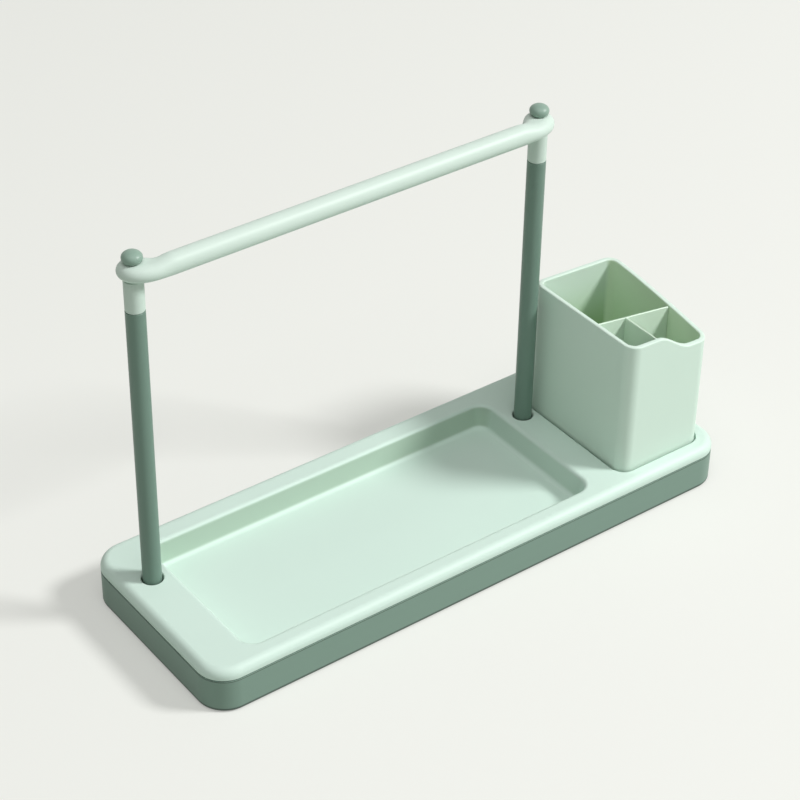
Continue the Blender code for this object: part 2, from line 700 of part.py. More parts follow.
def make_rail(finish, carrier):
    """Round bar that runs forward of the posts and blends into a flatter eye at each end."""
    half = eye_outline()
    core = [(POST_X["right"], 1, *point, *normal) for point, normal in half]
    core += [(POST_X["left"], -1, *point, *normal) for point, normal in reversed(half)]
    rings = []
    for side in range(RAIL_SIDES // 2):
        turn = -math.pi / 2 + math.tau * (side + 1 / 2) / RAIL_SIDES
        reach = RAIL_RADIUS * math.cos(turn)
        rings.append([
            (x + way * (out + reach * nx), POST_Y + back + reach * ny, RAIL_Z + rail_height(out, turn))
            for x, way, out, back, nx, ny in core
        ])
    middle = (POST_X["left"] + POST_X["right"]) / 2
    rail = loft("hanging_rail", rings, (middle, RAIL_Y, RAIL_Z), finish, carrier, cross_strips(len(half)))
    for side, x in POST_X.items():
        bore = cylinder(f"{side}_eye_bore", (x, POST_Y), STUD_BORE_RADIUS,
                        RAIL_Z - RAIL_RADIUS - CUT_OVERRUN, RAIL_Z + RAIL_RADIUS + CUT_OVERRUN,
                        finish, SMALL_ROUND_STEPS)
        combine(rail, bore, "DIFFERENCE")


def make_rail_fittings(collar_finish, knob_finish, stud_finish, carrier):
    """On each post a collar with its spigot in the tube, a knob on the eye, and a stud through all."""
    spigot_bottom = COLLAR_BOTTOM - SPIGOT_LENGTH
    bore_bottom = COLLAR_TOP - COLLAR_BORE_DEPTH
    for side, x in POST_X.items():
        centre = (x, POST_Y)
        turned(f"{side}_collar", [
            (0.0, spigot_bottom), (PLUG_RADIUS - SPIGOT_CHAMFER, spigot_bottom),
            (PLUG_RADIUS, spigot_bottom + SPIGOT_CHAMFER), (PLUG_RADIUS, COLLAR_BOTTOM),
            (POST_RADIUS - COLLAR_CHAMFER, COLLAR_BOTTOM), (POST_RADIUS, COLLAR_BOTTOM + COLLAR_CHAMFER),
            (POST_RADIUS, COLLAR_TOP), (STUD_BORE_RADIUS, COLLAR_TOP),
            (STUD_BORE_RADIUS, bore_bottom), (0.0, bore_bottom),
        ], centre, collar_finish, carrier)
        dome = []
        for step in range(DOME_STEPS + 1):
            turn = math.pi / 2 * step / DOME_STEPS
            rise = (KNOB_HEIGHT - KNOB_SIDE_HEIGHT) * math.sin(turn)
            dome.append((KNOB_RADIUS * math.cos(turn), KNOB_BOTTOM + KNOB_SIDE_HEIGHT + rise))
        dome[-1] = (0.0, dome[-1][1])
        bore_top = KNOB_BOTTOM + KNOB_BORE_DEPTH
        turned(f"{side}_knob", [
            (0.0, bore_top), (STUD_BORE_RADIUS, bore_top), (STUD_BORE_RADIUS, KNOB_BOTTOM),
            (KNOB_RADIUS - KNOB_EDGE, KNOB_BOTTOM), (KNOB_RADIUS, KNOB_BOTTOM + KNOB_EDGE),
        ] + dome, centre, knob_finish, carrier)
        stud_bottom = bore_bottom + FIT_GAP
        stud_top = bore_top - FIT_GAP
        turned(f"{side}_knob_stud", [
            (0.0, stud_bottom), (STUD_RADIUS, stud_bottom), (STUD_RADIUS, stud_top), (0.0, stud_top),
        ], centre, stud_finish, carrier, SMALL_ROUND_STEPS)


def make_materials():
    return {
        "mint": material("mint_plastic", (0.65, 0.81, 0.73), 0.46),
        "pale": material("pale_mint_plastic", (0.60, 0.71, 0.65), 0.42),
        "green": material("green_plastic", (0.19, 0.28, 0.23), 0.46),
        "painted": material("green_painted_tube", (0.14, 0.22, 0.18), 0.40),
        "rubber": material("dark_rubber", (0.03, 0.04, 0.035), 0.85),
        "insert": material("grey_insert", (0.30, 0.32, 0.31), 0.5),
        "steel": material("zinc_steel", (0.55, 0.56, 0.57), 0.3, 1.0),
    }


def main():
    clear_scene()
    finish = make_materials()
    middle_y = (CUP_FRONT + CUP_BACK) / 2
    tray_lift = lift_empty("tray_lift", (0.0, POST_Y, TRAY_BOTTOM))
    rail_lift = lift_empty("rail_lift", (0.0, POST_Y, COLLAR_BOTTOM))
    cup_lift = lift_empty("cup_lift", ((CUP_LEFT + CUP_RIGHT) / 2, middle_y, CUP_BOTTOM))
    divider_lift = lift_empty("divider_lift", (STEM_X, CROSS_WALL_Y, CUP_FLOOR_TOP))

    make_base(finish["green"])
    make_feet(finish["rubber"])
    make_posts(finish["painted"], finish["insert"], finish["steel"])
    make_tray(finish["mint"], tray_lift)
    make_cup(finish["mint"], cup_lift)
    make_divider(finish["pale"], divider_lift)
    make_rail(finish["pale"], rail_lift)
    make_rail_fittings(finish["pale"], finish["green"], finish["steel"], rail_lift)


main()
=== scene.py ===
"""Looks of the sink drain shelf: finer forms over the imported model, its finishes, light and camera.

Metres, in the model's own frame: the origin is on the table under the middle of the base, +X runs
along the rail to the cup and +Y runs to the back.
"""
import math

import bmesh
import bpy
from mathutils import Matrix, Vector


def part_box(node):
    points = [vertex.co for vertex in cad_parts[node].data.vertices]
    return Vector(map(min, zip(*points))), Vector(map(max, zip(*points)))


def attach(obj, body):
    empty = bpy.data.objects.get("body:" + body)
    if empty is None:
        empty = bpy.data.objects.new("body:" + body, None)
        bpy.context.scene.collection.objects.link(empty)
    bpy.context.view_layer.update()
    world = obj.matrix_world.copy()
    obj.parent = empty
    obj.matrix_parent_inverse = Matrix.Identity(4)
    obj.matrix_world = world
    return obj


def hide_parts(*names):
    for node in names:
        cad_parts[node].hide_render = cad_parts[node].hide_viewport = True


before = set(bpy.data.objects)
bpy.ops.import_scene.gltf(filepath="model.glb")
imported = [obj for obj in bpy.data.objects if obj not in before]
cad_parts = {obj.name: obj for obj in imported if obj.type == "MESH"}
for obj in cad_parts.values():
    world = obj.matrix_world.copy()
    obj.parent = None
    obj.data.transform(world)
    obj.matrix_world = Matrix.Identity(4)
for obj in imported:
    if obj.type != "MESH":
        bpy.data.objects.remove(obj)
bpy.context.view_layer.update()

# Clearance between pieces, the overrun of cutters past what they cut, and the least sizes in a mesh
FIT_GAP = 0.0003
CUT_OVERRUN = 0.004
MERGE_DISTANCE = 0.00002
SMALLEST_CORNER = 0.0003

# Ways that a surface can face
FORWARD = (0.0, -1.0, 0.0)
LEFTWARD = (-1.0, 0.0, 0.0)
UPWARD = (0.0, 0.0, 1.0)

# Drip base
BASE_CORNER_RADIUS = 0.019
BASE_WALL = 0.0028
BASE_FLOOR = 0.003
BASE_EDGE_RADIUS = 0.0018
BASE_FLOOR_FILLET = 0.002
BASE_RIM_RADIUS = 0.0003
FOOT_RECESS_DEPTH = 0.0015
SOCKET_FLOOR = 0.005
SOCKET_WALL = 0.0027
SOCKET_DEPTH = 0.0148

# Tray with its basin, its pocket for the cup and its post holes
TRAY_SEAM = 0.0004
TRAY_EDGE_RADIUS = 0.0056
TRAY_SEAT_RADIUS = 0.0009
TRAY_WALL = 0.0025
TRAY_LIP_DEPTH = 0.004
TRAY_LIP_WALL = 0.002
BASIN_POST_SPACE = 0.0102
BASIN_FRONT_LAND = 0.0108
BASIN_BACK_LAND = 0.0145
BASIN_CORNER_RADIUS = 0.013
BASIN_DEPTH = 0.017
BASIN_RIM_RADIUS = 0.0031
BASIN_FOOT_RADIUS = 0.0038
BASIN_WALL_LEAN = math.radians(8)
POCKET_SPACE = 0.0013
POCKET_DEPTH = 0.0032
POCKET_EDGE = 0.0005
POCKET_DRAIN_RADIUS = 0.004
POCKET_DRAIN_SPACING = 0.044
POST_HOLE_SPACE = 0.0009
POST_HOLE_WALL = 0.002
POST_HOLE_DEPTH = 0.0055
POST_HOLE_EDGE = 0.0006

# Utensil cup and the divider in it
CUP_HEIGHT = 0.0997
CUP_CORNER_RADIUS = 0.0088
CUP_WALL = 0.0034
CUP_RIM_RADIUS = 0.001
CUP_FLOOR = 0.003
CUP_BOTTOM_RADIUS = 0.002
CUP_FLOOR_FILLET = 0.0018
CUP_DRAIN_RADIUS = 0.0025
CUP_DRAIN_INSET = 0.012
RIM_FALL = 0.0042
DIP_DEPTH = 0.013
DIP_START = -0.004
DIP_RUN = 0.028
DIP_FADE_POWER = 1.4
DIVIDER_THICKNESS = 0.0014
DIVIDER_TOP_DROP = 0.0014
DIVIDER_CHAMFER = 0.0024
CROSS_WALL_FROM_FRONT = 0.0374
STEM_FROM_LEFT = 0.0277

# Posts, collars, rail and knobs
POST_WALL = 0.001
POST_EDGE = 0.0002
COLLAR_EDGE = 0.0005
SPIGOT_CHAMFER = 0.001
COLLAR_BORE_DEPTH = 0.012
RAIL_FORWARD = 0.0074
EYE_RADIUS = 0.0094
EYE_BLEND = 0.012
EYE_CORNER_RADIUS = 0.0125
EYE_FLATTEN_START = 0.022
EYE_TOP_DROP = 0.002
EYE_BOTTOM_RISE = 0.0007
KNOB_SIDE_HEIGHT = 0.0026
KNOB_UNDERCUT = 0.0014
KNOB_BORE_DEPTH = 0.0042
STUD_RADIUS = 0.002

# Screws under the base
SCREW_RADIUS = 0.0015
SCREW_HEAD_EDGE = 0.0006
SCREW_HEAD_SPACE = 0.0005
SCREW_HEAD_SINK = 0.0026
SCREW_CROSS_WIDTH = 0.0009
SCREW_CROSS_DEPTH = 0.0011
SCREW_CROSS_SHARE = 0.62

# Base colours
MINT = (0.645, 0.80, 0.72)
CUP_MINT = (0.675, 0.82, 0.725)
# Base of the cup's inside, under its painted shade and painted glow
CUP_INSIDE_MINT = (0.68, 0.83, 0.72)
DIVIDER_MINT = (0.68, 0.83, 0.69)
PALE_MINT = (0.62, 0.735, 0.665)
GREEN = (0.21, 0.31, 0.257)
# The knobs' green is the base's green made lighter: their real colour with a painted highlight
KNOB_GREEN_AND_HIGHLIGHT = (0.25, 0.365, 0.30)
TUBE_GREEN = (0.168, 0.26, 0.212)
RUBBER = (0.03, 0.04, 0.035)
INSERT_GREY = (0.30, 0.32, 0.31)
ZINC = (0.55, 0.56, 0.57)

# Roughness and shine
MOULDED_ROUGHNESS = 0.46
SMOOTH_ROUGHNESS = 0.42
PAINT_ROUGHNESS = 0.40
KNOB_ROUGHNESS = 0.38
RUBBER_ROUGHNESS = 0.85
INSERT_ROUGHNESS = 0.55
ZINC_ROUGHNESS = 0.30
ROUGHNESS_SPREAD = 0.04
PLASTIC_SPECULAR = 0.3
KNOB_SPECULAR = 0.4

# Clouds in the colour, and fine grain
CLOUD_SCALE = 14.0
CLOUD_DETAIL = 3.0
CLOUD_SHARE = 0.02
RUBBER_CLOUD_SHARE = 0.10
ZINC_CLOUD_SHARE = 0.05
GRAIN_SCALE = 3000.0
GRAIN_DETAIL = 2.0
GRAIN_HEIGHT = 0.00002
GRAIN_STRENGTH = 0.12
RUBBER_GRAIN_STRENGTH = 0.4

# Painted shade, painted shadow and painted glow on parts of a surface, as tints. START and FULL are
# distances from the piece's top or bottom.
# A RANGE is how far the surface faces one way, from -1 to 1, where the tint starts and where it is
# full.
UPRIGHT_RANGE = (0.75, 0.30)
# Painted shade on the tray's steep walls that face forward, mostly the basin's back wall
BASIN_WALL_PAINTED_SHADE = (0.455, 0.595, 0.485)
BASIN_WALL_SHADE_RANGE = (-0.40, 0.65)
# Painted glow on the cup's inner wall that faces left: greener and a touch lighter, as light through
# the thin wall
CUP_RIGHT_PAINTED_GLOW = (0.71, 0.87, 0.66)
CUP_RIGHT_GLOW_RANGE = (0.05, 0.72)
# Painted shade inside the cup: darker and greener towards the bottom
CUP_DEEP_PAINTED_SHADE = (0.38, 0.58, 0.30)
CUP_SHADE_START = 0.008
CUP_SHADE_FULL = 0.068
# Painted shadow: a dark line along the base's bottom edge, and another along its top under the tray's
# seam
BASE_PAINTED_SHADOW = (0.075, 0.11, 0.092)
FOOT_SHADOW_START = 0.0030
FOOT_SHADOW_FULL = 0.0018
FOOT_SHADOW_RANGE = (-0.97, -0.85)
# Painted shadow along the base's top, in the seam under the tray
SEAM_SHADOW_START = 0.0011
SEAM_SHADOW_FULL = 0.0004
SEAM_SHADOW_RANGE = (0.6, 0.2)

# Stage and light. Turns run about the upright axis from +X, and heights are angles over the table.
FLOOR_SIZE = 40.0
FLOOR_COLOUR = (0.835, 0.843, 0.805)
FLOOR_BOUNCE_COLOUR = (0.57, 0.63, 0.57)
FLOOR_ROUGHNESS = 0.9
FLOOR_SPECULAR = 0.1
FLOOR_GLOW_SHARE = 0.34
FLOOR_GLOW_NEAR = 0.9
FLOOR_GLOW_FAR = 2.5
BACKDROP_COLOUR = (0.935, 0.945, 0.90)
FILL_COLOUR = (1.0, 1.0, 0.95)
FILL_STRENGTH = 0.20
LAMP_AIM = (0.0, 0.0, 0.03)
KEY_TURN = math.radians(-41)
KEY_HEIGHT = math.radians(42)
KEY_DISTANCE = 5.5
KEY_SIZE = 1.25
KEY_POWER = 241.0
TOP_TURN = math.radians(-120)
TOP_HEIGHT = math.radians(72)
TOP_DISTANCE = 5.0
TOP_SIZE = 4.0
TOP_POWER = 82.0

# Camera
CAMERA_TURN = math.radians(-127.08)
CAMERA_HEIGHT = math.radians(35.90)
CAMERA_ROLL = math.radians(0.96)
CAMERA_DISTANCE = 1.61729
CAMERA_TARGET = (0.07853, 0.12393, 0.0)
CAMERA_SENSOR = 36.0
CAMERA_FOCAL_PIXELS = 2316.02
PICTURE_PIXELS = 800

# Counts of segments
CORNER_STEPS = 20
EDGE_STEPS = 8
TRAY_EDGE_STEPS = 12
ROUND_STEPS = 72
SMALL_ROUND_STEPS = 36
DOME_STEPS = 14
RAIL_SIDES = 48
EYE_STEPS = 28
EYE_BACK_STEPS = 10
EYE_CORNER_STEPS = 10
EYE_BAR_STEPS = 10
CUP_FRONT_CUTS = 48
CUP_SIDE_CUTS = 28
SMOOTH_ANGLE = math.radians(32)

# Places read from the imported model
BASE_LOW, BASE_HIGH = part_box("drip_base")
TRAY_LOW, TRAY_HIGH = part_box("top_tray")
CUP_LOW, CUP_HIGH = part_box("utensil_cup")
RAIL_LOW, RAIL_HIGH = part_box("hanging_rail")
BASE_BOX = (BASE_LOW.x, BASE_LOW.y, BASE_HIGH.x, BASE_HIGH.y)
CUP_BOX = (CUP_LOW.x, CUP_LOW.y, CUP_HIGH.x, CUP_HIGH.y)
CROSS_WALL_Y = CUP_LOW.y + CROSS_WALL_FROM_FRONT
STEM_X = CUP_LOW.x + STEM_FROM_LEFT
SIDES = ("left", "right")
FEET = ("foot_front_left", "foot_front_right", "foot_back_left", "foot_back_right")


def middle(node):
    """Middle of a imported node's box."""
    low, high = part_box(node)
    return (low + high) / 2


POST_X = {side: middle(f"{side}_post").x for side in SIDES}
POST_Y = middle("left_post").y
POST_LOW, POST_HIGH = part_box("left_post")
POST_RADIUS = (POST_HIGH.x - POST_LOW.x) / 2
POST_BORE_RADIUS = POST_RADIUS - POST_WALL
COLLAR_LOW, COLLAR_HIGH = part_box("left_collar")
KNOB_LOW, KNOB_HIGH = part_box("left_knob")
KNOB_RADIUS = (KNOB_HIGH.x - KNOB_LOW.x) / 2
SCREW_LOW, SCREW_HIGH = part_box("left_post_screw")
SCREW_HEAD_RADIUS = (SCREW_HIGH.x - SCREW_LOW.x) / 2
FOOT_LOW, FOOT_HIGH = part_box("foot_front_left")
FOOT_RADIUS = (FOOT_HIGH.x - FOOT_LOW.x) / 2
RAIL_RADIUS = (RAIL_HIGH.z - RAIL_LOW.z) / 2
RAIL_Z = (RAIL_HIGH.z + RAIL_LOW.z) / 2
TRAY_TOP = TRAY_HIGH.z
STUD_BORE_RADIUS = STUD_RADIUS + FIT_GAP


# Meshes

def arc(centre, radius, start, end, steps):
    """Points of a circle arc about centre, from the angle start to the angle end in degrees."""
    points = []
    for step in range(steps + 1):
        angle = math.radians(start + (end - start) * step / steps)
        points.append((centre[0] + radius * math.cos(angle), centre[1] + radius * math.sin(angle)))
    return points


def new_object(name, bm):
    """Object in the scene from a finished bmesh, with doubles merged and normals outward."""
    bmesh.ops.remove_doubles(bm, verts=bm.verts, dist=MERGE_DISTANCE)
    bmesh.ops.recalc_face_normals(bm, faces=bm.faces)
    mesh = bpy.data.meshes.new(name)
    bm.to_mesh(mesh)
    bm.free()
    item = bpy.data.objects.new(name, mesh)
    bpy.context.scene.collection.objects.link(item)
    return item


def loft(name, rings, strips=None):
    """Closed body through rings of equal count, capped by one face or by strips of ring indexes."""
    bm = bmesh.new()
    loops = [[bm.verts.new(point) for point in ring] for ring in rings]
    count = len(loops[0])
    for lower, upper in zip(loops, loops[1:]):
        for index in range(count):
            after = (index + 1) % count
            bm.faces.new((lower[index], lower[after], upper[after], upper[index]))
    for strip in strips or [range(count)]:
        bm.faces.new([loops[0][index] for index in reversed(strip)])
        bm.faces.new([loops[-1][index] for index in strip])
    return new_object(name, bm)


def turned(name, profile, centre, steps=ROUND_STEPS):
    """Solid of revolution about the upright axis through centre, from a list of (radius, z)."""
    bm = bmesh.new()
    verts = [bm.verts.new((centre[0] + radius, centre[1], z)) for radius, z in profile]
    edges = [bm.edges.new(pair) for pair in zip(verts, verts[1:])]
    if profile[0][0] > 0.0:
        edges.append(bm.edges.new((verts[-1], verts[0])))
    bmesh.ops.spin(
        bm, geom=verts + edges, cent=(*centre, 0.0), axis=UPWARD,
        angle=math.tau, steps=steps, use_merge=True,
    )
    return new_object(name, bm)


def cylinder(name, centre, radius, bottom, top, steps=SMALL_ROUND_STEPS):
    """Upright cylinder, used only as a cutter or as stock that others join."""
    return turned(name, [(0.0, bottom), (radius, bottom), (radius, top), (0.0, top)], centre, steps)


def rounded_rectangle(box, radius, inset, z, cuts=(1, 1, 1, 1)):
    """Ring of a rectangle with round corners, drawn in by inset.

    Box is (left, front, right, back) and cuts gives how many runs the front, right, back and left
    sides are split into.
    """
    left, front, right, back = box
    reach = max(radius - inset, SMALLEST_CORNER)
    corners = (
        (right - inset - reach, front + inset + reach, -90),
        (right - inset - reach, back - inset - reach, 0),
        (left + inset + reach, back - inset - reach, 90),
        (left + inset + reach, front + inset + reach, 180),
    )
    runs = [arc(corner[:2], reach, corner[2], corner[2] + 90, CORNER_STEPS) for corner in corners]
    sides = cuts[1:] + cuts[:1]
    points = []
    for index, run in enumerate(runs):
        points += run
        start = run[-1]
        end = runs[(index + 1) % len(runs)][0]
        for cut in range(1, sides[index]):
            share = cut / sides[index]
            points.append(tuple(a + (b - a) * share for a, b in zip(start, end)))
    return [(x, y, z) for x, y in points]


def rounded_box(name, box, radius, profile):
    """Body through the rounded rectangles of a profile, a list of (inset, z)."""
    return loft(name, [rounded_rectangle(box, radius, inset, z) for inset, z in profile])


def shell_profile(bottom, top, wall, floor, edge_radius, rim_radius, fillet_radius):
    """Outer edge, rim and inner fillet of an open shell, each as a list of (inset, z)."""
    edge = arc((edge_radius, bottom + edge_radius), edge_radius, 270, 180, EDGE_STEPS)
    rim = arc((rim_radius, top - rim_radius), rim_radius, 180, 90, EDGE_STEPS)
    rim += arc((wall - rim_radius, top - rim_radius), rim_radius, 90, 0, EDGE_STEPS)
    fillet_centre = (wall + fillet_radius, bottom + floor + fillet_radius)
    return edge, rim, arc(fillet_centre, fillet_radius, 180, 270, EDGE_STEPS)


def combine(item, steps):
    """Item after the Boolean steps, given as (operation, other). The others are used up."""
    for operation, other in steps:
        step = item.modifiers.new(other.name, "BOOLEAN")
        step.operation = operation
        step.solver = "EXACT"
        step.object = other
    graph = bpy.context.evaluated_depsgraph_get()
    mesh = bpy.data.meshes.new_from_object(item.evaluated_get(graph))
    item.modifiers.clear()
    item.data = mesh
    for _, other in steps:
        bpy.data.objects.remove(other, do_unlink=True)
    return item


def dress(item, finish, body, node):
    """Smooth shading, finish and place in the model for the piece that stands for a node."""
    item.data.materials.clear()
    item.data.materials.append(finish)
    item.data.shade_smooth()
    item.data.set_sharp_from_angle(angle=SMOOTH_ANGLE)
    normals = item.modifiers.new("even_normals", "WEIGHTED_NORMAL")
    normals.keep_sharp = True
    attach(item, body)
    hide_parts(node)


# Base, posts and what is fixed to them

def make_base(finish):
    """Open shell with a socket for each post, screw holes from below and recesses for the feet."""
    bottom = BASE_LOW.z
    edge, rim, fillet = shell_profile(
        bottom, BASE_HIGH.z, BASE_WALL, BASE_FLOOR,
        BASE_EDGE_RADIUS, BASE_RIM_RADIUS, BASE_FLOOR_FILLET,
    )
    base = rounded_box("base_shell", BASE_BOX, BASE_CORNER_RADIUS, edge + rim + fillet)
    steps = []
    bore_radius = POST_RADIUS + FIT_GAP
    socket_bottom = bottom + SOCKET_FLOOR
    socket_top = socket_bottom + SOCKET_DEPTH
    head_top = bottom + SCREW_HEAD_SINK
    below = bottom - CUT_OVERRUN
    for side, x in POST_X.items():
        centre = (x, POST_Y)
        socket = cylinder(f"{side}_socket", centre, bore_radius + SOCKET_WALL,
                          bottom + BASE_FLOOR / 2, socket_top)
        bore = cylinder(f"{side}_bore", centre, bore_radius, socket_bottom,
                        socket_top + CUT_OVERRUN, ROUND_STEPS)
        screw_hole = turned(f"{side}_screw_hole", [
            (0.0, below),
            (SCREW_HEAD_RADIUS + SCREW_HEAD_SPACE, below),
            (SCREW_HEAD_RADIUS + SCREW_HEAD_SPACE, head_top),
            (SCREW_RADIUS + FIT_GAP, head_top),
            (SCREW_RADIUS + FIT_GAP, socket_bottom + CUT_OVERRUN),
            (0.0, socket_bottom + CUT_OVERRUN),
        ], centre, SMALL_ROUND_STEPS)
        steps += [("UNION", socket), ("DIFFERENCE", bore), ("DIFFERENCE", screw_hole)]
    for foot in FEET:
        recess = cylinder(f"{foot}_recess", middle(foot).xy, FOOT_RADIUS + FIT_GAP,
                          below, bottom + FOOT_RECESS_DEPTH, ROUND_STEPS)
        steps.append(("DIFFERENCE", recess))
    dress(combine(base, steps), finish, "base", "drip_base")


def make_posts(finish):
    """Thin tubes that stand in the sockets."""
    for side, x in POST_X.items():
        post = turned(f"{side}_tube", [
            (POST_RADIUS - POST_EDGE, POST_LOW.z),
            (POST_RADIUS, POST_LOW.z + POST_EDGE),
            (POST_RADIUS, POST_HIGH.z - POST_EDGE),
            (POST_RADIUS - POST_EDGE, POST_HIGH.z),
            (POST_BORE_RADIUS, POST_HIGH.z),
            (POST_BORE_RADIUS, POST_LOW.z),
        ], (x, POST_Y))
        dress(post, finish, "base", f"{side}_post")


def make_screws(finish):
    """Pan head screws with a cross recess, seen under the base."""
    for side, x in POST_X.items():
        low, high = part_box(f"{side}_post_screw")
        head_top = BASE_LOW.z + SCREW_HEAD_SINK - FIT_GAP
        screw = turned(f"{side}_screw", [
            (0.0, low.z),
            (SCREW_HEAD_RADIUS - SCREW_HEAD_EDGE, low.z),
            (SCREW_HEAD_RADIUS, low.z + SCREW_HEAD_EDGE),
            (SCREW_HEAD_RADIUS, head_top),
            (SCREW_RADIUS, head_top),
            (SCREW_RADIUS, high.z - SCREW_RADIUS),
            (0.0, high.z),
        ], (x, POST_Y), SMALL_ROUND_STEPS)
        arm = SCREW_HEAD_RADIUS * SCREW_CROSS_SHARE
        half = SCREW_CROSS_WIDTH / 2
        arms = [
            (arm, half), (half, half), (half, arm),
            (-half, arm), (-half, half), (-arm, half),
        ]
        outline = arms + [(-a, -b) for a, b in arms]
        cross = loft(f"{side}_screw_cross", [
            [(x + a, POST_Y + b, z) for a, b in outline]
            for z in (low.z - SCREW_CROSS_DEPTH, low.z + SCREW_CROSS_DEPTH)
        ])
        combine(screw, [("DIFFERENCE", cross)])
        dress(screw, finish, "base", f"{side}_post_screw")


# Tray

def basin_profile(drop):
    """Basin wall from the rim down, lowered by drop, as (inset, z)."""
    lean = BASIN_WALL_LEAN
    top = TRAY_TOP - drop
    floor = TRAY_TOP - BASIN_DEPTH - drop
    rim_turn = 90 - math.degrees(lean)
    rim = arc((0.0, top - BASIN_RIM_RADIUS), BASIN_RIM_RADIUS, 90, 90 - rim_turn, EDGE_STEPS)
    straight_top = rim[-1]
    fillet_z = floor + BASIN_FOOT_RADIUS
    fillet_start_z = fillet_z - BASIN_FOOT_RADIUS * math.sin(lean)
    straight_run = (straight_top[1] - fillet_start_z) * math.tan(lean)
    fillet_inset = straight_top[0] + straight_run + BASIN_FOOT_RADIUS * math.cos(lean)
    start = 180 + math.degrees(lean)
    return rim + arc((fillet_inset, fillet_z), BASIN_FOOT_RADIUS, start, 270, EDGE_STEPS)


def make_tray(finish):
    """Tray with a lip inside the base's rim, a basin, the cup's pocket and a hole for each post."""
    seat = BASE_HIGH.z + TRAY_SEAM
    lip_inset = BASE_WALL + FIT_GAP
    lip_bottom = seat - TRAY_LIP_DEPTH
    seat_centre = (TRAY_SEAT_RADIUS, seat + TRAY_SEAT_RADIUS)
    under_edge = arc(seat_centre, TRAY_SEAT_RADIUS, 270, 180, EDGE_STEPS)
    edge_centre = (TRAY_EDGE_RADIUS, TRAY_TOP - TRAY_EDGE_RADIUS)
    edge = arc(edge_centre, TRAY_EDGE_RADIUS, 180, 90, TRAY_EDGE_STEPS)
    profile = [(lip_inset, lip_bottom), (lip_inset, seat)] + under_edge + edge
    tray = rounded_box("tray_shell", BASE_BOX, BASE_CORNER_RADIUS, profile)
    steps = []

    inner = lip_inset + TRAY_LIP_WALL
    ceiling = TRAY_TOP - TRAY_WALL
    joined_top = TRAY_TOP - TRAY_WALL / 2
    above = TRAY_TOP + CUT_OVERRUN
    steps.append(("DIFFERENCE", rounded_box("hollow", BASE_BOX, BASE_CORNER_RADIUS, [
        (inner, lip_bottom - CUT_OVERRUN),
        (inner, ceiling - TRAY_WALL),
        (inner + TRAY_WALL, ceiling),
    ])))
    basin = (
        POST_X["left"] + BASIN_POST_SPACE,
        BASE_LOW.y + BASIN_FRONT_LAND,
        POST_X["right"] - BASIN_POST_SPACE,
        BASE_HIGH.y - BASIN_BACK_LAND,
    )
    outside = [(inset - TRAY_WALL, z) for inset, z in basin_profile(TRAY_WALL)]
    outside[0] = (outside[0][0], joined_top)
    steps.append(("UNION", rounded_box("bowl", basin, BASIN_CORNER_RADIUS, outside[::-1])))

    pocket = (
        CUP_LOW.x - POCKET_SPACE,
        CUP_LOW.y - POCKET_SPACE,
        CUP_HIGH.x + POCKET_SPACE,
        CUP_HIGH.y + POCKET_SPACE,
    )
    pocket_radius = CUP_CORNER_RADIUS + POCKET_SPACE
    pocket_floor = TRAY_TOP - POCKET_DEPTH
    steps.append(("UNION", rounded_box("well", pocket, pocket_radius, [
        (-TRAY_WALL, pocket_floor - TRAY_WALL),
        (-TRAY_WALL, joined_top),
    ])))
    hole_radius = POST_RADIUS + POST_HOLE_SPACE
    for side, x in POST_X.items():
        ring = cylinder(f"{side}_ring", (x, POST_Y), hole_radius + POST_HOLE_WALL,
                        TRAY_TOP - POST_HOLE_DEPTH, joined_top)
        steps.append(("UNION", ring))

    inside = [(0.0, above)] + basin_profile(0.0)
    steps.append(("DIFFERENCE", rounded_box("basin_cut", basin, BASIN_CORNER_RADIUS, inside[::-1])))
    lead_in = arc((-POCKET_EDGE, TRAY_TOP - POCKET_EDGE), POCKET_EDGE, 0, 90, EDGE_STEPS)
    steps.append(("DIFFERENCE", rounded_box("pocket_cut", pocket, pocket_radius, [
        (0.0, pocket_floor),
        *lead_in,
        (-POCKET_EDGE, above),
    ])))
    hole_bottom = lip_bottom - CUT_OVERRUN
    for side, x in POST_X.items():
        steps.append(("DIFFERENCE", turned(f"{side}_hole", [
            (0.0, hole_bottom),
            (hole_radius, hole_bottom),
            (hole_radius, TRAY_TOP - POST_HOLE_EDGE),
            (hole_radius + POST_HOLE_EDGE, TRAY_TOP),
            (hole_radius + POST_HOLE_EDGE, above),
            (0.0, above),
        ], (x, POST_Y))))
    middle_x, middle_y = middle("utensil_cup").xy
    for index, way in enumerate((-1, 1)):
        centre = (middle_x, middle_y + way * POCKET_DRAIN_SPACING / 2)
        drain = cylinder(f"pocket_drain_{index}", centre, POCKET_DRAIN_RADIUS,
                         pocket_floor - TRAY_WALL - CUT_OVERRUN, pocket_floor + CUT_OVERRUN)
        steps.append(("DIFFERENCE", drain))
    dress(combine(tray, steps), finish, "tray", "top_tray")


# Cup and divider

def smooth_step(share):
    """Share from 0 to 1, eased at both ends."""
    share = min(max(share, 0.0), 1.0)
    return share * share * (3 - 2 * share)


def rim_height(x, y):
    """Top of the cup's rim: a straight fall to the right and an S-shaped dip at the front right."""
    fall = RIM_FALL * (x - CUP_LOW.x) / (CUP_HIGH.x - CUP_LOW.x)
    fade = min(max(1 - (y - CUP_LOW.y) / (CUP_HIGH.y - CUP_LOW.y), 0.0), 1.0)
    dip = DIP_DEPTH * smooth_step((x - STEM_X - DIP_START) / DIP_RUN) * fade ** DIP_FADE_POWER
    return CUP_LOW.z + CUP_HEIGHT - fall - dip


